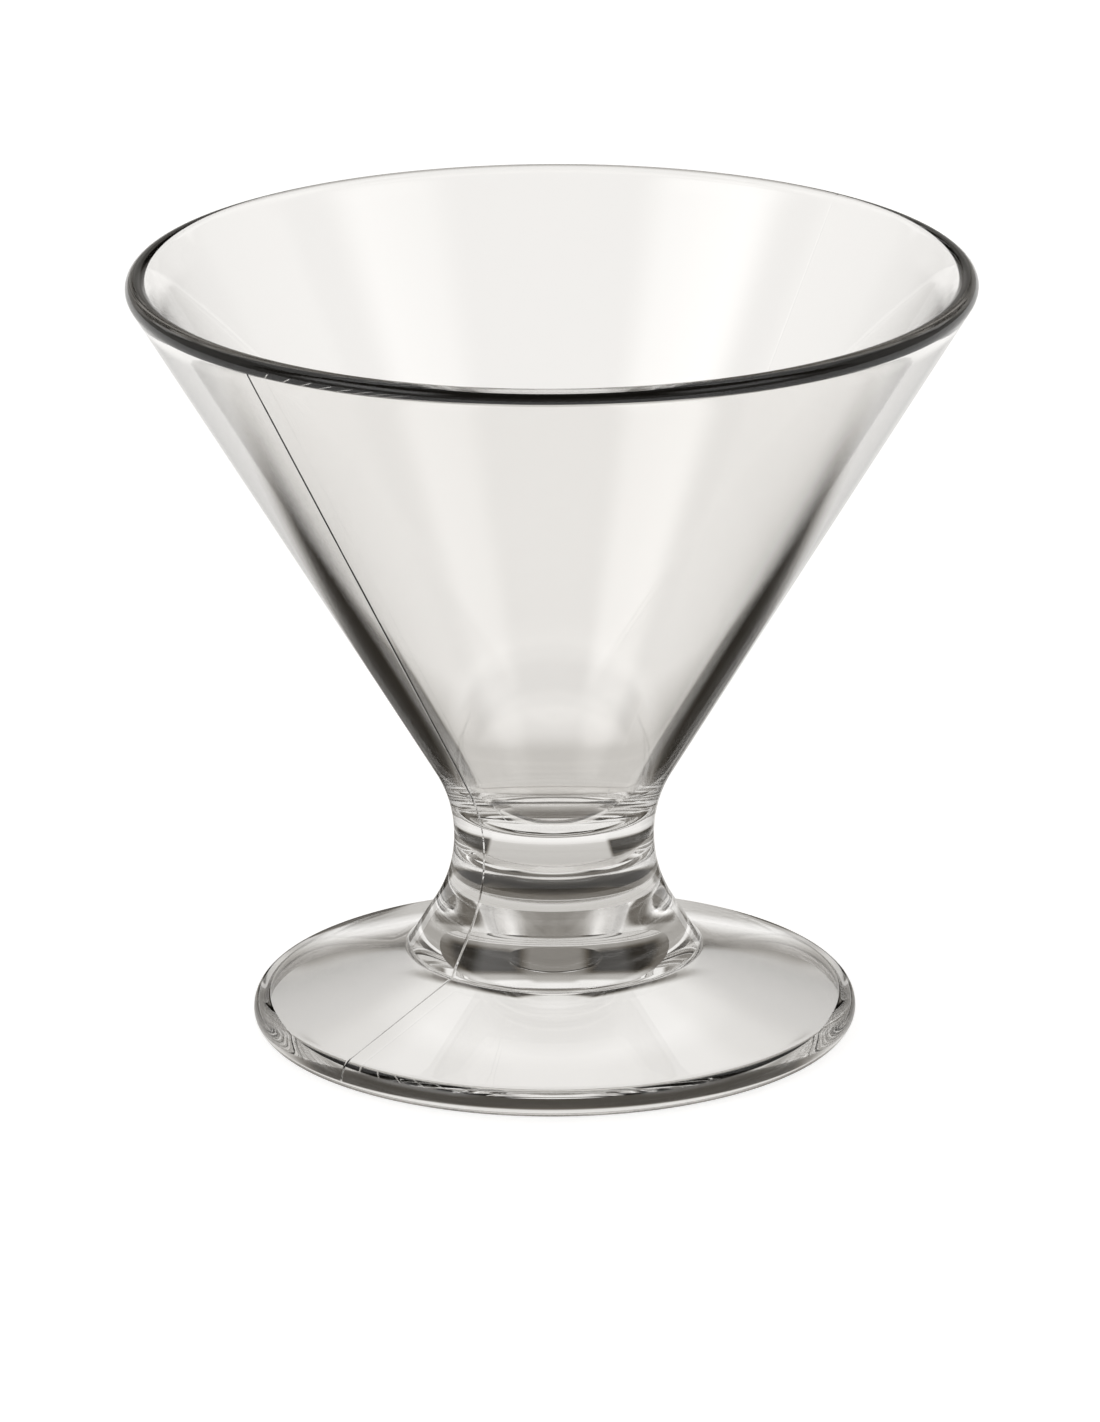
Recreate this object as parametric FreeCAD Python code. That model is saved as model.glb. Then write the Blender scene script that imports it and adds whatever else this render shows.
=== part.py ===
"""Short-stemmed martini glass in clear moulded plastic, in millimetres, +Z up.

The origin is the centre of the foot, on the surface that the glass stands on.
Three mouldings share the Z axis: a conical bowl, a solid waisted stem and a dished foot.
The bowl's spigot is cemented into the stem, and the stem's spigot into the foot.
Every outline is a closed profile in the XZ plane, turned once round the axis.
"""

import FreeCAD, Part
import math
import os

# Bowl
rim_radius = 54.0  # the lip's outermost circle
glass_height = 99.8  # floor to the crest of the lip
wall = 2.8  # the bowl's wall, and so the lip's full round
bowl_floor = 3.7  # plastic under the drink, above the waist joint
floor_fillet = 6.0  # between the inner cone and the bowl's floor

# Waist, where the bowl and the stem meet
waist_radius = 12.9
waist_height = 24.8
waist_curve = 18.0  # radius of the hourglass curve, seen from the side
waist_joint_height = 24.0

# Stem
flare_angle = 31.8  # of the lower cone, from the vertical
crease_height = 9.9  # where the flare meets the top of the foot
foot_joint_height = 11.6  # the foot's collar ends here and the stem stands on it

# Foot
foot_radius = 39.0
edge_height = 1.5  # the foot is widest this high above the table
edge_round_above = 2.5
crease_fillet = 1.2
foot_wall = 2.4  # thickness of the sloping plate
rest_ring_inner_radius = 36.3

# Boss under the foot, which thickens it below the stem
boss_radius = 10.0  # outer edge of its dished face
boss_height = 5.3  # height of that edge above the table
boss_dish = 0.7  # how far the face rises to its middle
boss_flank_radius = 17.3  # where the boss runs out into the plate's underside

# Cemented spigots
bowl_spigot_radius = 7.0
bowl_spigot_length = 5.0
stem_spigot_radius = 4.0
stem_spigot_recess = 0.1  # the stem's spigot stops this far above the boss's face
cement_gap = 0.04  # radial room for cement round a spigot
cement_well = 0.3  # room under a spigot's end

# A thin rounded edge is made of narrow bands
band_turn = 35.0  # degrees, at most, from one band to the next


def vector(radius, height):
    return FreeCAD.Vector(radius, 0.0, height)


def line(start, end):
    return Part.LineSegment(vector(*start), vector(*end)).toShape()


def arc(start, middle, end):
    return Part.Arc(vector(*start), vector(*middle), vector(*end)).toShape()


def on_circle(centre, radius, angle):
    """The point of a circle at an angle in radians, measured from +X towards +Z."""
    return (centre[0] + radius * math.cos(angle), centre[1] + radius * math.sin(angle))


def round_arc(centre, radius, start_angle, end_angle):
    middle_angle = (start_angle + end_angle) / 2
    return arc(
        on_circle(centre, radius, start_angle),
        on_circle(centre, radius, middle_angle),
        on_circle(centre, radius, end_angle),
    )


def banded_round(centre, radius, start_angle, end_angle):
    """A thin edge's round as a few narrow bands, which turn into far fewer facets than a smooth one."""
    turn = end_angle - start_angle
    bands = math.ceil(abs(turn) / math.radians(band_turn))
    corners = [on_circle(centre, radius, start_angle + turn * step / bands) for step in range(bands + 1)]
    return [line(start, end) for start, end in zip(corners, corners[1:])]


def turned(edges):
    """The solid that a closed profile in the XZ plane sweeps round the Z axis."""
    face = Part.Face(Part.Wire(edges))
    return face.revolve(FreeCAD.Vector(0, 0, 0), FreeCAD.Vector(0, 0, 1), 360)


# The hourglass curve of the waist
waist_centre = (waist_radius + waist_curve, waist_height)


def waist_point(height):
    """The point of the hourglass curve at a height."""
    rise = height - waist_height
    return (waist_centre[0] - math.sqrt(waist_curve**2 - rise**2), height)


def waist_arc(low, high):
    """The hourglass curve from the point low up to the point high, both on it."""
    return arc(low, waist_point((low[1] + high[1]) / 2), high)


# The bowl's cone touches the waist's curve below and the round of the lip above
lip = wall / 2
lip_centre = (rim_radius - lip, glass_height - lip)
inward = lip_centre[0] - waist_centre[0]
upward = lip_centre[1] - waist_centre[1]
cone_angle = math.atan2(inward, upward) + math.asin((lip + waist_curve) / math.hypot(inward, upward))
cone_outer_top = on_circle(lip_centre, lip, -cone_angle)
cone_inner_top = on_circle(lip_centre, lip, math.pi - cone_angle)
cone_outer_foot = on_circle(waist_centre, waist_curve, math.pi - cone_angle)
bowl_floor_height = waist_joint_height + bowl_floor


def bowl():
    """Conical wall with a full round lip, a rounded floor, and a spigot under it."""
    fall = cone_inner_top[1] - bowl_floor_height
    corner_radius = cone_inner_top[0] - fall * math.tan(cone_angle)
    turn = math.pi / 2 - cone_angle
    tangent = floor_fillet * math.tan(turn / 2)
    fillet_centre = (corner_radius - tangent, bowl_floor_height + floor_fillet)
    fillet_top = on_circle(fillet_centre, floor_fillet, -cone_angle)
    fillet_foot = (fillet_centre[0], bowl_floor_height)
    joint_edge = waist_point(waist_joint_height)
    spigot_foot = waist_joint_height - bowl_spigot_length
    return turned(
        [
            line((0, bowl_floor_height), fillet_foot),
            round_arc(fillet_centre, floor_fillet, -math.pi / 2, -cone_angle),
            line(fillet_top, cone_inner_top),
            *banded_round(lip_centre, lip, math.pi - cone_angle, math.pi / 2),
            *banded_round(lip_centre, lip, math.pi / 2, 0),
            *banded_round(lip_centre, lip, 0, -cone_angle),
            line(cone_outer_top, cone_outer_foot),
            waist_arc(cone_outer_foot, joint_edge),
            line(joint_edge, (bowl_spigot_radius, waist_joint_height)),
            line((bowl_spigot_radius, waist_joint_height), (bowl_spigot_radius, spigot_foot)),
            line((bowl_spigot_radius, spigot_foot), (0, spigot_foot)),
            line((0, spigot_foot), (0, bowl_floor_height)),
        ]
    )


# The stem's flare leaves the waist's curve and runs straight down to the crease
flare = math.radians(flare_angle)
flare_top = on_circle(waist_centre, waist_curve, math.pi + flare)


def flare_point(height):
    return (flare_top[0] + (flare_top[1] - height) * math.tan(flare), height)


# The boss's dished face is a shallow part of a sphere
dish_sphere = (boss_radius**2 + boss_dish**2) / (2 * boss_dish)


def dish_point(radius):
    """The point of the boss's dished face at a radius."""
    fall = dish_sphere - math.sqrt(dish_sphere**2 - radius**2)
    return (radius, boss_height + boss_dish - fall)


def stem():
    """Solid waisted stem, with a socket for the bowl's spigot and a spigot for the foot."""
    joint_edge = waist_point(waist_joint_height)
    base_edge = flare_point(foot_joint_height)
    socket_radius = bowl_spigot_radius + cement_gap
    socket_floor = waist_joint_height - bowl_spigot_length - cement_well
    spigot_foot = dish_point(stem_spigot_radius)[1] + stem_spigot_recess
    return turned(
        [
            line((0, socket_floor), (socket_radius, socket_floor)),
            line((socket_radius, socket_floor), (socket_radius, waist_joint_height)),
            line((socket_radius, waist_joint_height), joint_edge),
            waist_arc(joint_edge, flare_top),
            line(flare_top, base_edge),
            line(base_edge, (stem_spigot_radius, foot_joint_height)),
            line((stem_spigot_radius, foot_joint_height), (stem_spigot_radius, spigot_foot)),
            line((stem_spigot_radius, spigot_foot), (0, spigot_foot)),
            line((0, spigot_foot), (0, socket_floor)),
        ]
    )


def foot():
    """Sloping plate with a rounded edge, a collar round the spigot, a dished boss and a ring to rest on."""
    crease = flare_point(crease_height)
    upper_centre = (foot_radius - edge_round_above, edge_height)
    lower_centre = (foot_radius - edge_height, edge_height)
    run = upper_centre[0] - crease[0]
    drop = crease[1] - upper_centre[1]
    slope = math.atan2(drop, run) - math.asin(edge_round_above / math.hypot(run, drop))
    plate_top = on_circle(upper_centre, edge_round_above, math.pi / 2 - slope)

    # The crease's fillet touches the flare above and the plate's slope below
    turn = math.pi / 2 - flare - slope
    tangent = crease_fillet * math.tan(turn / 2)
    flare_foot = (crease[0] - tangent * math.sin(flare), crease[1] + tangent * math.cos(flare))
    fillet_centre = on_circle(flare_foot, crease_fillet, flare)
    fillet_foot = on_circle(fillet_centre, crease_fillet, -math.pi / 2 - slope)
    collar_edge = flare_point(foot_joint_height)

    def underside_point(radius):
        """The plate's underside is parallel to its top, one plate thickness below it."""
        under_crease = crease[1] - foot_wall / math.cos(slope)
        return (radius, under_crease - (radius - crease[0]) * math.tan(slope))

    hole_radius = stem_spigot_radius + cement_gap
    hole_edge = dish_point(hole_radius)
    dish_middle = dish_point((hole_radius + boss_radius) / 2)
    dish_edge = dish_point(boss_radius)
    flank_end = underside_point(boss_flank_radius)
    ring_top = underside_point(rest_ring_inner_radius)
    return turned(
        [
            arc(hole_edge, dish_middle, dish_edge),
            line(dish_edge, flank_end),
            line(flank_end, ring_top),
            line(ring_top, (rest_ring_inner_radius, 0)),
            line((rest_ring_inner_radius, 0), (lower_centre[0], 0)),
            *banded_round(lower_centre, edge_height, -math.pi / 2, 0),
            *banded_round(upper_centre, edge_round_above, 0, math.pi / 2 - slope),
            line(plate_top, fillet_foot),
            *banded_round(fillet_centre, crease_fillet, -math.pi / 2 - slope, flare - math.pi),
            line(flare_foot, collar_edge),
            line(collar_edge, (hole_radius, foot_joint_height)),
            line((hole_radius, foot_joint_height), hole_edge),
        ]
    )


def main():
    os.makedirs("parts", exist_ok=True)
    for name, make in (("bowl", bowl), ("stem", stem), ("foot", foot)):
        solid = make()
        if not solid.isValid() or solid.Volume <= 0:
            raise ValueError(name + " is not a valid solid")
        solid.exportStep("parts/" + name + ".step")
        box = solid.BoundBox
        print(name, solid.ShapeType, round(solid.Volume), "mm3, Z", round(box.ZMin, 2), "to", round(box.ZMax, 2))


main()
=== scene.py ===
import bpy
import math
from mathutils import Matrix


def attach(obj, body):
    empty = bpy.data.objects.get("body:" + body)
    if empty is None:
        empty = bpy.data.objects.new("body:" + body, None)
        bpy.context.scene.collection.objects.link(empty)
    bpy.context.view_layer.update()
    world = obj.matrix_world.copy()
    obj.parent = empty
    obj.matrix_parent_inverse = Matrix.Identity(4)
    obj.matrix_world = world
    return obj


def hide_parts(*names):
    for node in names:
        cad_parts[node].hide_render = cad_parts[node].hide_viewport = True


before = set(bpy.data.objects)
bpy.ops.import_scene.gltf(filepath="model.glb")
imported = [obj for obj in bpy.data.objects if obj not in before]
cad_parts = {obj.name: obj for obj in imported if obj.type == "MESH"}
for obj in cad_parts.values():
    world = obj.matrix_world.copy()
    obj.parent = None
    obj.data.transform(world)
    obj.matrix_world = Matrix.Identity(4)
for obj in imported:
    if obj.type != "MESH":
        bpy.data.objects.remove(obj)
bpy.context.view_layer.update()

MM = 0.001

# Driving dimensions of the glass
RIM_RADIUS = 54.0 * MM
GLASS_HEIGHT = 99.8 * MM
WALL = 2.8 * MM
BOWL_FLOOR = 3.7 * MM
FLOOR_FILLET = 6.0 * MM
WAIST_RADIUS = 12.9 * MM
WAIST_HEIGHT = 24.8 * MM
WAIST_CURVE = 18.0 * MM
WAIST_JOINT_HEIGHT = 24.0 * MM
FLARE_ANGLE = math.radians(31.8)
CREASE_HEIGHT = 9.9 * MM
FOOT_JOINT_HEIGHT = 11.6 * MM
FOOT_RADIUS = 39.0 * MM
EDGE_HEIGHT = 1.5 * MM
EDGE_ROUND_ABOVE = 2.5 * MM
CREASE_FILLET = 1.2 * MM
FOOT_WALL = 2.4 * MM
REST_RING_INNER_RADIUS = 36.3 * MM
RING_FILLET = 0.3 * MM
BOSS_RADIUS = 10.0 * MM
BOSS_HEIGHT = 5.3 * MM
BOSS_DISH = 0.7 * MM
BOSS_FLANK_RADIUS = 17.3 * MM
BOWL_SPIGOT_RADIUS = 7.0 * MM
BOWL_SPIGOT_LENGTH = 5.0 * MM
STEM_SPIGOT_RADIUS = 4.0 * MM
STEM_SPIGOT_RECESS = 0.1 * MM
CEMENT_GAP = 0.04 * MM
CEMENT_WELL = 0.3 * MM

# The mould's parting line, a fine ridge down both sides, with turning steps fine enough to carry it
PARTING_ANGLES = (math.radians(-134.0), math.radians(46.0))
RIDGE_HEIGHTS = (0.10 * MM, 0.03 * MM)
RIDGE_HALF_WIDTH = 0.16 * MM
RIDGE_STEPS = (0.0015, 0.003, 0.005, 0.008, 0.012, 0.018)

# Camera
CAMERA_PLACE = (0.0, -1144.607 * MM, 420.19 * MM)
CAMERA_PITCH = math.radians(18.3144)
CAMERA_YAW = math.radians(-0.0227)
CAMERA_ROLL = math.radians(-0.2451)
LONG_SIDE_PX = 1422
FOCAL_PX = 9389.93
SENSOR = 36.0
CLIP_START = 0.05
CLIP_END = 100.0

POLISHED, CEMENTED = 0, 1
TURN = 2 * math.pi
ROUND_STEP = math.radians(6)
TURN_SEGMENTS = 288
ANGLE_DECIMALS = 6
SHARP_CORNER = math.radians(25)
TOUCHING = 1e-9


# Outlines

def on_circle(centre, radius, angle):
    return (centre[0] + radius * math.cos(angle), centre[1] + radius * math.sin(angle))


def waist_point(height):
    rise = height - WAIST_HEIGHT
    return (WAIST_CENTRE[0] - math.sqrt(WAIST_CURVE**2 - rise**2), height)


def waist_angle(point):
    return math.atan2(point[1] - WAIST_CENTRE[1], point[0] - WAIST_CENTRE[0]) % TURN


WAIST_CENTRE = (WAIST_RADIUS + WAIST_CURVE, WAIST_HEIGHT)
LIP = WALL / 2
LIP_CENTRE = (RIM_RADIUS - LIP, GLASS_HEIGHT - LIP)
INWARD = LIP_CENTRE[0] - WAIST_CENTRE[0]
UPWARD = LIP_CENTRE[1] - WAIST_CENTRE[1]
CONE_ANGLE = math.atan2(INWARD, UPWARD) + math.asin((LIP + WAIST_CURVE) / math.hypot(INWARD, UPWARD))
CONE_INNER_TOP = on_circle(LIP_CENTRE, LIP, math.pi - CONE_ANGLE)
CONE_OUTER_FOOT = on_circle(WAIST_CENTRE, WAIST_CURVE, math.pi - CONE_ANGLE)
BOWL_FLOOR_HEIGHT = WAIST_JOINT_HEIGHT + BOWL_FLOOR
FLARE_TOP = on_circle(WAIST_CENTRE, WAIST_CURVE, math.pi + FLARE_ANGLE)


def flare_point(height):
    return (FLARE_TOP[0] + (FLARE_TOP[1] - height) * math.tan(FLARE_ANGLE), height)


DISH_SPHERE = (BOSS_RADIUS**2 + BOSS_DISH**2) / (2 * BOSS_DISH)


def dish_point(radius):
    return (radius, BOSS_HEIGHT + BOSS_DISH - DISH_SPHERE + math.sqrt(DISH_SPHERE**2 - radius**2))


class Outline:
    """A closed outline of radius and height. Each stretch has the finish of the face that it turns into."""

    def __init__(self, start):
        self.points = [start]
        self.finishes = []
        self.outer_from = None
        self.outer_to = None

    def begin_outer_face(self):
        self.outer_from = len(self.points) - 1

    def end_outer_face(self):
        self.outer_to = len(self.points) - 1

    def line(self, end, finish=POLISHED, longest=2.0 * MM):
        start = self.points[-1]
        steps = max(1, math.ceil(math.dist(start, end) / longest))
        for step in range(1, steps + 1):
            share = step / steps
            radius = start[0] + (end[0] - start[0]) * share
            height = start[1] + (end[1] - start[1]) * share
            self.points.append((radius, height))
            self.finishes.append(finish)

    def arc(self, centre, radius, start_angle, end_angle, finish=POLISHED, longest=1.0 * MM):
        turn = abs(end_angle - start_angle)
        steps = max(4, math.ceil(turn / ROUND_STEP), math.ceil(turn * radius / longest))
        for step in range(1, steps + 1):
            angle = start_angle + (end_angle - start_angle) * step / steps
            self.points.append(on_circle(centre, radius, angle))
            self.finishes.append(finish)


def bowl_outline():
    fall = CONE_INNER_TOP[1] - BOWL_FLOOR_HEIGHT
    corner_radius = CONE_INNER_TOP[0] - fall * math.tan(CONE_ANGLE)
    tangent = FLOOR_FILLET * math.tan((math.pi / 2 - CONE_ANGLE) / 2)
    fillet_centre = (corner_radius - tangent, BOWL_FLOOR_HEIGHT + FLOOR_FILLET)
    joint_edge = waist_point(WAIST_JOINT_HEIGHT)
    spigot_foot = WAIST_JOINT_HEIGHT - BOWL_SPIGOT_LENGTH
    outline = Outline((0.0, BOWL_FLOOR_HEIGHT))
    outline.line((fillet_centre[0], BOWL_FLOOR_HEIGHT))
    outline.arc(fillet_centre, FLOOR_FILLET, -math.pi / 2, -CONE_ANGLE)
    outline.line(CONE_INNER_TOP)
    outline.arc(LIP_CENTRE, LIP, math.pi - CONE_ANGLE, -CONE_ANGLE)
    outline.begin_outer_face()
    outline.line(CONE_OUTER_FOOT)
    outline.arc(WAIST_CENTRE, WAIST_CURVE, math.pi - CONE_ANGLE, waist_angle(joint_edge))
    outline.end_outer_face()
    outline.line((BOWL_SPIGOT_RADIUS, WAIST_JOINT_HEIGHT), CEMENTED)
    outline.line((BOWL_SPIGOT_RADIUS, spigot_foot), CEMENTED)
    outline.line((0.0, spigot_foot), CEMENTED)
    return outline


def stem_outline():
    joint_edge = waist_point(WAIST_JOINT_HEIGHT)
    socket_radius = BOWL_SPIGOT_RADIUS + CEMENT_GAP
    socket_floor = WAIST_JOINT_HEIGHT - BOWL_SPIGOT_LENGTH - CEMENT_WELL
    spigot_foot = dish_point(STEM_SPIGOT_RADIUS)[1] + STEM_SPIGOT_RECESS
    outline = Outline((0.0, socket_floor))
    outline.line((socket_radius, socket_floor), CEMENTED)
    outline.line((socket_radius, WAIST_JOINT_HEIGHT), CEMENTED)
    outline.line(joint_edge, CEMENTED)
    outline.begin_outer_face()
    outline.arc(WAIST_CENTRE, WAIST_CURVE, waist_angle(joint_edge), math.pi + FLARE_ANGLE)
    outline.line(flare_point(FOOT_JOINT_HEIGHT))
    outline.end_outer_face()
    outline.line((STEM_SPIGOT_RADIUS, FOOT_JOINT_HEIGHT), CEMENTED)
    outline.line((STEM_SPIGOT_RADIUS, spigot_foot), CEMENTED)
    outline.line((0.0, spigot_foot))
    return outline


def foot_outline():
    crease = flare_point(CREASE_HEIGHT)
    upper_centre = (FOOT_RADIUS - EDGE_ROUND_ABOVE, EDGE_HEIGHT)
    lower_centre = (FOOT_RADIUS - EDGE_HEIGHT, EDGE_HEIGHT)
    run = upper_centre[0] - crease[0]
    drop = crease[1] - upper_centre[1]
    slope = math.atan2(drop, run) - math.asin(EDGE_ROUND_ABOVE / math.hypot(run, drop))
    tangent = CREASE_FILLET * math.tan((math.pi / 2 - FLARE_ANGLE - slope) / 2)
    flare_foot = (crease[0] - tangent * math.sin(FLARE_ANGLE), crease[1] + tangent * math.cos(FLARE_ANGLE))
    fillet_centre = on_circle(flare_foot, CREASE_FILLET, FLARE_ANGLE)
    fillet_foot = on_circle(fillet_centre, CREASE_FILLET, -math.pi / 2 - slope)
    under_crease = crease[1] - FOOT_WALL / math.cos(slope)

    def underside_point(radius):
        return (radius, under_crease - (radius - crease[0]) * math.tan(slope))

    ring_centre = (REST_RING_INNER_RADIUS + RING_FILLET, RING_FILLET)
    hole_radius = STEM_SPIGOT_RADIUS + CEMENT_GAP
    dish_centre = (0.0, BOSS_HEIGHT + BOSS_DISH - DISH_SPHERE)
    hole_edge = dish_point(hole_radius)
    dish_edge = dish_point(BOSS_RADIUS)
    outline = Outline(hole_edge)
    outline.arc(
        dish_centre,
        DISH_SPHERE,
        math.atan2(hole_edge[1] - dish_centre[1], hole_edge[0]),
        math.atan2(dish_edge[1] - dish_centre[1], dish_edge[0]),
        longest=0.5 * MM,
    )
    outline.line(underside_point(BOSS_FLANK_RADIUS))
    outline.line(underside_point(REST_RING_INNER_RADIUS))
    outline.line((REST_RING_INNER_RADIUS, RING_FILLET))
    outline.arc(ring_centre, RING_FILLET, -math.pi, -math.pi / 2)
    outline.line((lower_centre[0], 0.0))
    outline.arc(lower_centre, EDGE_HEIGHT, -math.pi / 2, 0)
    outline.begin_outer_face()
    outline.arc(upper_centre, EDGE_ROUND_ABOVE, 0, math.pi / 2 - slope)
    outline.line(fillet_foot)
    outline.arc(fillet_centre, CREASE_FILLET, -math.pi / 2 - slope, FLARE_ANGLE - math.pi)
    outline.line(flare_point(FOOT_JOINT_HEIGHT))
    outline.end_outer_face()
    outline.line((hole_radius, FOOT_JOINT_HEIGHT), CEMENTED)
    outline.line(hole_edge, CEMENTED)
    return outline


# Turned pieces

def turning_angles():
    """Even steps round the axis, with finer ones across both parting lines."""
    angles = {TURN * step / TURN_SEGMENTS for step in range(TURN_SEGMENTS)}
    for line_angle in PARTING_ANGLES:
        angles.add(line_angle % TURN)
        for width in RIDGE_STEPS:
            angles.add((line_angle + width) % TURN)
            angles.add((line_angle - width) % TURN)
    return sorted({round(angle, ANGLE_DECIMALS) for angle in angles})


def ridge(angle, radius):
    """How far the moulding stands proud at an angle, from the flash left by the mould's halves."""
    proud = 0.0
    for line_angle, height in zip(PARTING_ANGLES, RIDGE_HEIGHTS):
        away = abs((angle - line_angle + math.pi) % TURN - math.pi) * radius
        if away < RIDGE_HALF_WIDTH:
            proud = height * (1 - away / RIDGE_HALF_WIDTH)
    return proud


def turned(name, outline, materials):
    """A closed piece turned round the axis, with the parting ridge on its outer face."""
    angles = turning_angles()
    count = len(angles)
    closed = math.dist(outline.points[0], outline.points[-1]) < TOUCHING
    points = outline.points[:-1] if closed else outline.points
    stretches = len(points) if closed else len(points) - 1
    vertices, rings = [], []
    for index, (radius, height) in enumerate(points):
        if radius < TOUCHING:
            rings.append([len(vertices)] * count)
            vertices.append((0.0, 0.0, height))
            continue
        first = len(vertices)
        ridged = outline.outer_from <= index <= outline.outer_to
        for angle in angles:
            reach = radius + (ridge(angle, radius) if ridged else 0.0)
            vertices.append((reach * math.cos(angle), reach * math.sin(angle), height))
        rings.append(list(range(first, first + count)))
    doubled_area = sum(
        points[index - 1][0] * points[index][1] - points[index][0] * points[index - 1][1]
        for index in range(len(points))
    )
    faces, marks = [], []
    for index in range(stretches):
        low, high = rings[index], rings[(index + 1) % len(points)]
        for side in range(count):
            after = (side + 1) % count
            corners = [low[side], low[after], high[after], high[side]]
            face = list(dict.fromkeys(corners if doubled_area > 0 else reversed(corners)))
            if len(face) > 2:
                faces.append(face)
                marks.append(outline.finishes[index])
    mesh = bpy.data.meshes.new(name)
    mesh.from_pydata(vertices, [], faces)
    for material in materials:
        mesh.materials.append(material)
    mesh.polygons.foreach_set("material_index", marks)
    mesh.shade_smooth()
    mesh.set_sharp_from_angle(angle=SHARP_CORNER)
    mesh.update()
    piece = bpy.data.objects.new(name, mesh)
    bpy.context.scene.collection.objects.link(piece)
    return piece


# Shader nodes as expressions

class Socket:
    """A node's output. Python's operators on it add Math nodes to its tree."""

    def __init__(self, tree, output):
        self.tree = tree
        self.output = output

    def math(self, operation, *others):
        return self.tree.node("ShaderNodeMath", {"operation": operation}, [self, *others])

    def __add__(self, other):
        return self.math("ADD", other)

    def __radd__(self, other):
        return self.math("ADD", other)

    def __sub__(self, other):
        return self.math("SUBTRACT", other)

    def __rsub__(self, other):
        return self.tree.node("ShaderNodeMath", {"operation": "SUBTRACT"}, [other, self])

    def __mul__(self, other):
        return self.math("MULTIPLY", other)

    def __rmul__(self, other):
        return self.math("MULTIPLY", other)

    def __truediv__(self, other):
        return self.math("DIVIDE", other)


class Tree:
    """A material's or the world's nodes, added one call at a time."""

    def __init__(self, owner):
        owner.use_nodes = True
        self.nodes = owner.node_tree.nodes
        self.links = owner.node_tree.links
        self.nodes.clear()

    def add(self, kind, settings=None, inputs=()):
        made = self.nodes.new(kind)
        for name, value in (settings or {}).items():
            if name == "stops":
                self.set_stops(made.color_ramp, value)
            else:
                setattr(made, name, value)
        pairs = inputs.items() if isinstance(inputs, dict) else enumerate(inputs)
        for key, value in pairs:
            if isinstance(value, Socket):
                self.links.new(value.output, self.input(made, key))
            else:
                self.input(made, key).default_value = value
        return made

    def input(self, made, key):
        """The input of that name which is in use, as some nodes have several of one name."""
        if isinstance(key, int):
            return made.inputs[key]
        return next(socket for socket in made.inputs if socket.name == key and socket.enabled)

    def node(self, kind, settings=None, inputs=(), output=0):
        made = self.add(kind, settings, inputs)
        if isinstance(output, int):
            return Socket(self, made.outputs[output])
        named = (socket for socket in made.outputs if socket.name == output and socket.enabled)
        return Socket(self, next(named))

    def set_stops(self, ramp, stops):
        while len(ramp.elements) > 1:
            ramp.elements.remove(ramp.elements[-1])
        ramp.elements[0].position, ramp.elements[0].color = stops[0]
        for place, colour in stops[1:]:
            ramp.elements.new(place).color = colour

    def smooth(self, value, low, high, from_value=0.0, to_value=1.0):
        """A soft step from one value to another as the input passes between two limits."""
        return self.node(
            "ShaderNodeMapRange",
            {"interpolation_type": "SMOOTHSTEP"},
            {
                "Value": value,
                "From Min": low,
                "From Max": high,
                "To Min": from_value,
                "To Max": to_value,
            },
        )


# Finishes

PLASTIC_COLOUR = (0.972, 0.965, 0.955, 1.0)
PLASTIC_IOR = 1.585
WAVE_SCALE = 38.0
WAVE_STRENGTH = 0.25
WAVE_DEPTH = 0.08 * MM
HAZE_SCALE = 90.0
HAZE_LIMITS = (0.35, 0.8)
HAZE_ROUGHNESS = 0.035

# Painted shade: the bowl's wall, between its floor and its lip, is painted darker towards the sides, where it
# is seen edge-on, standing in for dark surroundings rather than anything in the plastic
PAINTED_EDGE_COLOUR = (0.02, 0.018, 0.015, 1.0)
PAINTED_EDGE_SHADE = 1.5
PAINTED_EDGE_SHADE_MOST = 0.9
PAINTED_EDGE_SHADE_FROM = 0.45
PAINTED_EDGE_SHADE_BOTTOM = (29 * MM, 34 * MM)
PAINTED_EDGE_SHADE_TOP = (95 * MM, 97 * MM)


def grey(value):
    return (value, value, value, 1.0)


def clear_plastic():
    """Polished clear moulding with faint flow waves and handling haze, and painted shade on walls seen
    edge-on.
    """
    material = bpy.data.materials.new("clear_moulded_plastic")
    tree = Tree(material)
    place = tree.node("ShaderNodeTexCoord", output="Object")
    waves = tree.node("ShaderNodeTexNoise", {}, {"Vector": place, "Scale": WAVE_SCALE, "Detail": 1.0}, "Fac")
    haze = tree.node("ShaderNodeTexNoise", {}, {"Vector": place, "Scale": HAZE_SCALE, "Detail": 3.0}, "Fac")
    bump = tree.node(
        "ShaderNodeBump",
        {},
        {"Height": waves, "Strength": WAVE_STRENGTH, "Distance": WAVE_DEPTH},
        "Normal",
    )
    height = tree.node("ShaderNodeSeparateXYZ", {}, [place], "Z")
    # Painted shade: the base colour is darkened where the bowl's wall is seen edge-on
    glancing = tree.node("ShaderNodeLayerWeight", {}, {"Blend": 0.5}, "Facing")
    past = (glancing - PAINTED_EDGE_SHADE_FROM).math("MAXIMUM", 0.0) / (1 - PAINTED_EDGE_SHADE_FROM)
    walls = tree.smooth(height, *PAINTED_EDGE_SHADE_BOTTOM) * tree.smooth(height, *PAINTED_EDGE_SHADE_TOP, 1.0, 0.0)
    shade = (past * past * PAINTED_EDGE_SHADE * walls).math("MINIMUM", PAINTED_EDGE_SHADE_MOST)
    colour = tree.node(
        "ShaderNodeMix",
        {"data_type": "RGBA"},
        {"Factor": shade, "A": PLASTIC_COLOUR, "B": PAINTED_EDGE_COLOUR},
        "Result",
    )
    shader = tree.node(
        "ShaderNodeBsdfPrincipled",
        {},
        {
            "Base Color": colour,
            "Roughness": tree.smooth(haze, *HAZE_LIMITS, 0.0, HAZE_ROUGHNESS),
            "IOR": PLASTIC_IOR,
            "Transmission Weight": 1.0,
            "Normal": bump,
        },
    )
    tree.add("ShaderNodeOutputMaterial", {}, {"Surface": shader})
    return material


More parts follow.
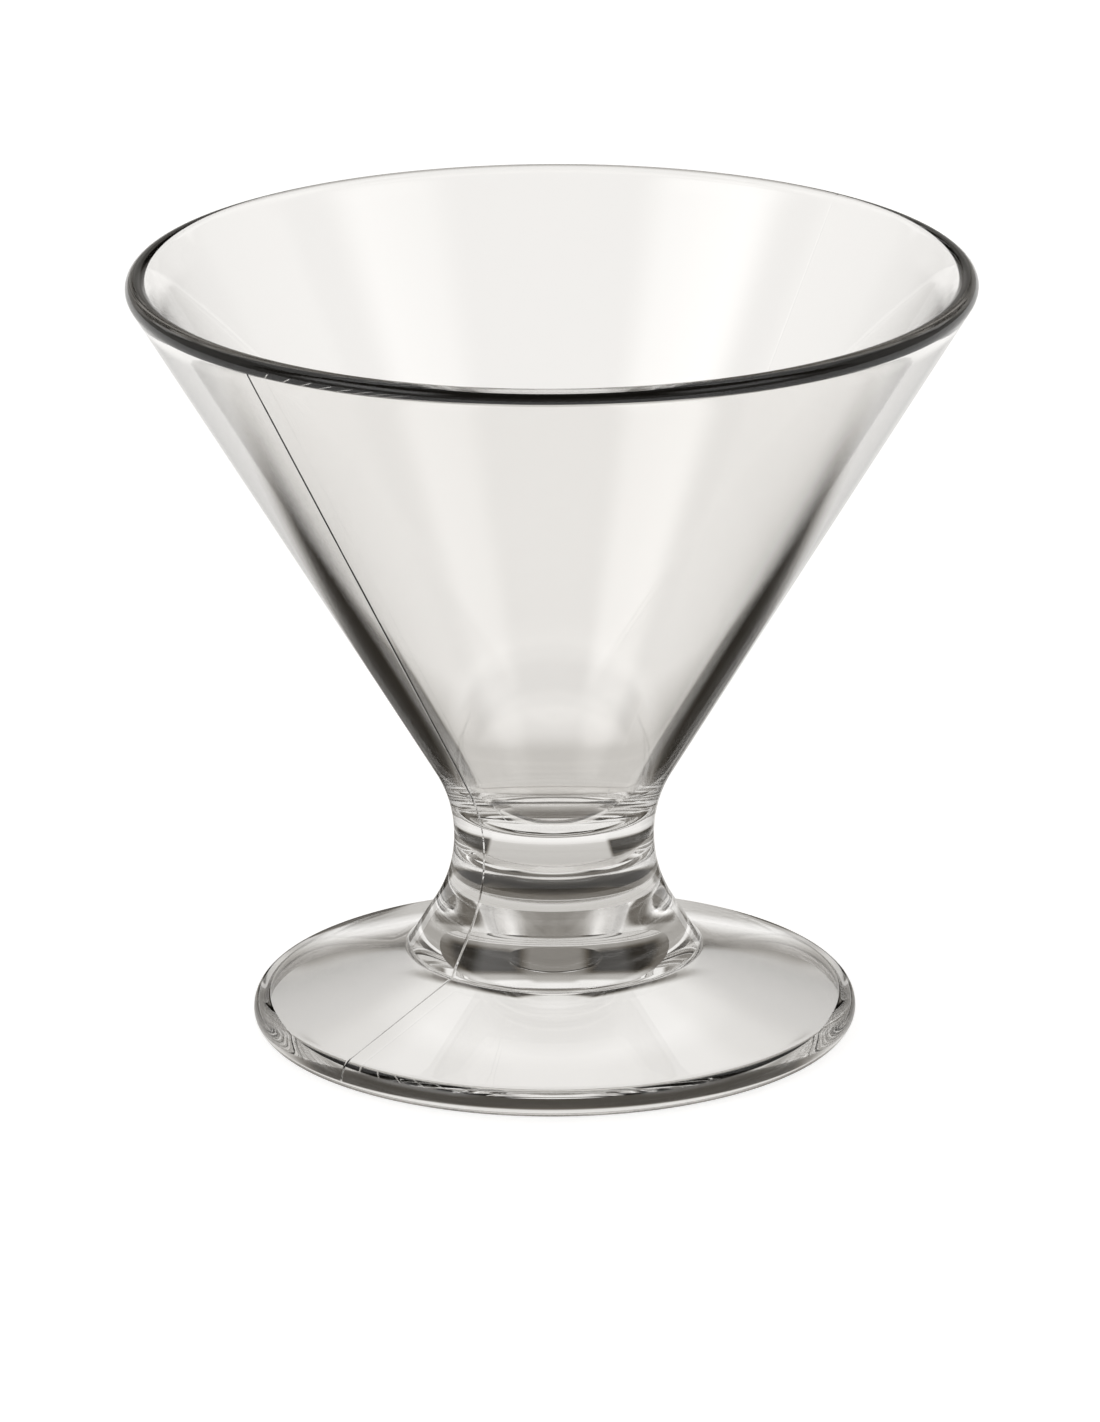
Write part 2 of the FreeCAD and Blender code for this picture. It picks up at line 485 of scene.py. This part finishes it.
def cemented_face():
    """Where two mouldings are cemented the joint is invisible, so light goes straight through it."""
    material = bpy.data.materials.new("clear_cemented_joint")
    tree = Tree(material)
    shader = tree.node("ShaderNodeBsdfTransparent", {}, {"Color": grey(1.0)})
    tree.add("ShaderNodeOutputMaterial", {}, {"Surface": shader})
    return material


# Studio

FLOOR_COLOUR = 0.8
FLOOR_SEEN_WHITE = 0.75
FLOOR_SIZE = 40.0
FLOOR_DROP = 0.05 * MM

# How bright the floor looks through the glass and in its gloss, by radius in mm: straight behind it, in a dark
# stretch on either side of that, and beside and before it. Nothing in the scene casts these shades, and the
# camera sees the floor plain white. They and the room's were set by hand from a map of light that a scratch
# script fitted to the photograph.
FLOOR_BEHIND = (
    (0, 0.9), (5.5, 0.85), (7, 0.04), (11, 0.02), (14, 0.1), (17, 0.14), (20, 0.14), (23, 0.3),
    (26, 0.6), (30, 0.72), (46, 0.6), (60, 0.6), (90, 0.6), (105, 0.75), (130, 0.98), (200, 1.0),
)
FLOOR_DARK = (
    (0, 0.9), (5.5, 0.8), (7, 0.04), (14, 0.02), (18, 0.06), (22, 0.3), (26, 0.85), (34, 0.85),
    (37, 0.25), (46, 0.12), (50, 0.03), (110, 0.03), (130, 0.9), (200, 0.97),
)
FLOOR_BEFORE = (
    (0, 0.9), (5, 0.84), (18, 0.92), (24, 0.84), (39, 0.82), (44, 0.4), (80, 0.4), (120, 0.85),
    (160, 0.95), (200, 0.98),
)
FLOOR_PROFILE_END = 200 * MM

# The dark stretches' inner edges in degrees from straight behind, and where they fade out, sooner close by
DARK_LEFT = -22.0
DARK_RIGHT = 27.5
DARK_SOFTNESS = 1.5
DARK_END = (62.0, 74.0)
NEAR_DARK_RADII = (26 * MM, 40 * MM)
NEAR_DARK_CUT = 16.0

# A drawn shade under the front of the foot's edge, where the foot rests on the floor
REST_SHADOW_START = (32.6 * MM, 34.0 * MM)
REST_SHADOW_END = (FOOT_RADIUS, FOOT_RADIUS + 2 * MM)
REST_SHADOW_SIDES = (104.0, 124.0)
REST_SHADOW_DEPTH = 0.95

# The room's brightness by height in degrees, from straight behind the glass round to the front
ROOM_MIDDLE = (
    (0, 0.87), (4, 0.64), (8, 0.3), (11, 0.42), (14, 0.42), (18, 0.22), (22, 0.3), (30, 0.22), (36, 0.3),
    (40, 0.4), (46, 0.5), (52, 0.97), (68, 0.98), (72, 0.25), (90, 0.33),
)
ROOM_BESIDE_MIDDLE = (
    (0, 0.45), (4, 0.43), (8, 0.3), (11, 0.28), (14, 0.08), (16, 0.02), (31, 0.02), (34, 0.1), (38, 0.4),
    (43, 0.5), (47, 0.95), (68, 0.95), (72, 0.24), (90, 0.3),
)
ROOM_CORNER = (
    (0, 0.38), (10, 0.4), (14, 0.3), (18, 0.12), (28, 0.15), (34, 0.5), (38, 0.7), (50, 0.75), (68, 0.75),
    (72, 0.35), (90, 0.28),
)
ROOM_SIDE = (
    (0, 0.4), (30, 0.42), (36, 0.35), (42, 0.4), (46, 0.75), (58, 0.8), (62, 1.2), (69, 1.2), (73, 0.5),
    (80, 0.4), (90, 0.25),
)
ROOM_FRONT = ((0, 0.35), (14, 0.3), (20, 0.35), (24, 0.15), (44, 0.1), (60, 0.12), (66, 0.2), (90, 0.3))
ROOM_TURNS = ((ROOM_BESIDE_MIDDLE, 7, 12), (ROOM_CORNER, 28, 35), (ROOM_SIDE, 50, 60), (ROOM_FRONT, 86, 92))
QUARTER_TURN = 90.0

# Soft boxes: the sides and heights that each spans in degrees, its softness and its strength
BACK_BOXES = ((40.5, 52), (16, 31), 1.5, 0.8)
FRONT_LEFT_BOX = ((-145, -105), (22, 44), 8, 1.6)
FRONT_RIGHT_BOX = ((108, 142), (22, 44), 8, 1.0)

# A lamp's colour at a brightness of 0, 0.1, 0.5, 1 and 2: the darker, the warmer
LAMP_TONES = (
    (0.0, (0.0, 0.0, 0.0, 1.0)),
    (0.05, (0.1, 0.088, 0.072, 1.0)),
    (0.25, (0.5, 0.485, 0.46, 1.0)),
    (0.5, (1.0, 0.99, 0.975, 1.0)),
    (1.0, (2.0, 1.98, 1.95, 1.0)),
)
BRIGHTEST_LAMP = 2


def warm(tree, brightness):
    return tree.node("ShaderNodeValToRGB", {"stops": LAMP_TONES}, [brightness / BRIGHTEST_LAMP])


def profile(tree, value, steps, end):
    """A brightness read off steps of place and brightness, the last of which lies at the end."""
    stops = [(place / steps[-1][0], grey(brightness)) for place, brightness in steps]
    return tree.node("ShaderNodeValToRGB", {"stops": stops}, [value / end])


def floor_through_glass(tree, place):
    split = tree.add("ShaderNodeSeparateXYZ", {}, [place])
    right, back = (Socket(tree, split.outputs[axis]) for axis in "XY")
    radius = tree.node("ShaderNodeVectorMath", {"operation": "LENGTH"}, [place], "Value")
    azimuth = right.math("ARCTAN2", back).math("DEGREES")
    side = azimuth.math("ABSOLUTE")
    behind, dark, before = (
        profile(tree, radius, steps, FLOOR_PROFILE_END) for steps in (FLOOR_BEHIND, FLOOR_DARK, FLOOR_BEFORE)
    )
    on_left = tree.smooth(azimuth, DARK_LEFT - DARK_SOFTNESS, DARK_LEFT + DARK_SOFTNESS, 1.0, 0.0)
    on_right = tree.smooth(azimuth, DARK_RIGHT - DARK_SOFTNESS, DARK_RIGHT + DARK_SOFTNESS)
    shade = behind + (dark - behind) * (on_left + on_right)
    near = tree.smooth(radius, *NEAR_DARK_RADII, 1.0, 0.0)
    shade = shade + (before - shade) * tree.smooth(side + near * NEAR_DARK_CUT, *DARK_END)
    under_edge = tree.smooth(radius, *REST_SHADOW_START) * tree.smooth(radius, *REST_SHADOW_END, 1.0, 0.0)
    return shade * (1 - under_edge * tree.smooth(side, *REST_SHADOW_SIDES) * REST_SHADOW_DEPTH)


def white_floor():
    """Pale floor: matt and white in sight. Through the glass and in its gloss it shows the drawn shades."""
    material = bpy.data.materials.new("white_floor")
    tree = Tree(material)
    ways = tree.add("ShaderNodeLightPath")
    to_camera, to_gloss, to_clear = (
        Socket(tree, ways.outputs[name]) for name in ("Is Camera Ray", "Is Glossy Ray", "Is Transmission Ray")
    )
    shade = floor_through_glass(tree, tree.node("ShaderNodeTexCoord", output="Object"))
    matt = tree.node("ShaderNodeBsdfDiffuse", {}, {"Color": grey(FLOOR_COLOUR)})
    glow = to_camera * FLOOR_SEEN_WHITE
    white = tree.node("ShaderNodeEmission", {}, {"Color": grey(1.0), "Strength": glow})
    in_sight = tree.node("ShaderNodeAddShader", {}, [matt, white])
    shaded = tree.node("ShaderNodeEmission", {}, {"Color": warm(tree, shade)})
    surface = tree.node("ShaderNodeMixShader", {}, [to_gloss.math("MAXIMUM", to_clear), in_sight, shaded])
    tree.add("ShaderNodeOutputMaterial", {}, {"Surface": surface})
    return material


def stage_piece(name, corners, faces, material, height):
    mesh = bpy.data.meshes.new(name)
    mesh.from_pydata(corners, [], faces)
    mesh.materials.append(material)
    piece = bpy.data.objects.new(name, mesh)
    piece.location.z = height
    bpy.context.scene.collection.objects.link(piece)


def studio_floor():
    half = FLOOR_SIZE / 2
    corners = [(-half, -half, 0), (half, -half, 0), (half, half, 0), (-half, half, 0)]
    stage_piece("studio_floor", corners, [(0, 1, 2, 3)], white_floor(), -FLOOR_DROP)


def window(tree, value, limits, soft):
    """1 where a value lies between two limits, with soft edges."""
    low, high = limits
    rise = tree.smooth(value, low - soft, low + soft)
    fall = tree.smooth(value, high - soft, high + soft, 1.0, 0.0)
    return rise * fall


def soft_box(tree, azimuth, elevation, box):
    sides, heights, soft, strength = box
    return window(tree, azimuth, sides, soft) * window(tree, elevation, heights, soft) * strength


def studio_world():
    """A dim room with a bright ceiling light behind the glass and soft boxes round it."""
    world = bpy.data.worlds.new("studio")
    bpy.context.scene.world = world
    tree = Tree(world)
    way = tree.node("ShaderNodeTexCoord", output="Generated")
    split = tree.add("ShaderNodeSeparateXYZ", {}, [way])
    right, back, up = (Socket(tree, split.outputs[axis]) for axis in "XYZ")
    elevation = up.math("ARCSINE").math("DEGREES")
    azimuth = right.math("ARCTAN2", back).math("DEGREES")
    side = azimuth.math("ABSOLUTE")
    room = profile(tree, elevation, ROOM_MIDDLE, QUARTER_TURN)
    for steps, low, high in ROOM_TURNS:
        room = room + (profile(tree, elevation, steps, QUARTER_TURN) - room) * tree.smooth(side, low, high)
    boxes = soft_box(tree, side, elevation, BACK_BOXES)
    for box in (FRONT_LEFT_BOX, FRONT_RIGHT_BOX):
        boxes = boxes + soft_box(tree, azimuth, elevation, box)
    lit = tree.node("ShaderNodeBackground", {}, {"Color": warm(tree, room + boxes)})
    tree.add("ShaderNodeOutputWorld", {}, {"Surface": lit})


def camera():
    lens = bpy.data.cameras.new("camera")
    lens.sensor_width = SENSOR
    lens.lens = FOCAL_PX / LONG_SIDE_PX * SENSOR
    lens.clip_start = CLIP_START
    lens.clip_end = CLIP_END
    view = bpy.data.objects.new("camera", lens)
    turn = Matrix.Rotation(-CAMERA_YAW, 4, "Z") @ Matrix.Rotation(math.pi / 2 - CAMERA_PITCH, 4, "X")
    view.matrix_world = Matrix.Translation(CAMERA_PLACE) @ turn @ Matrix.Rotation(CAMERA_ROLL, 4, "Z")
    bpy.context.scene.collection.objects.link(view)
    bpy.context.scene.camera = view


# How often light may turn inside the clear plastic, at its gloss and through its cemented joints
CLEAR_BOUNCES = 24
GLOSS_BOUNCES = 16
JOINT_BOUNCES = 32


def main():
    scene = bpy.context.scene
    finishes = (clear_plastic(), cemented_face())
    for node, make in (("bowl", bowl_outline), ("stem", stem_outline), ("foot", foot_outline)):
        piece = turned("clear_" + node, make(), finishes)
        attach(piece, "root")
        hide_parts(node)
    studio_floor()
    studio_world()
    camera()
    scene.view_settings.view_transform = "Standard"
    scene.cycles.max_bounces = CLEAR_BOUNCES
    scene.cycles.transmission_bounces = CLEAR_BOUNCES
    scene.cycles.glossy_bounces = GLOSS_BOUNCES
    scene.cycles.transparent_max_bounces = JOINT_BOUNCES


main()
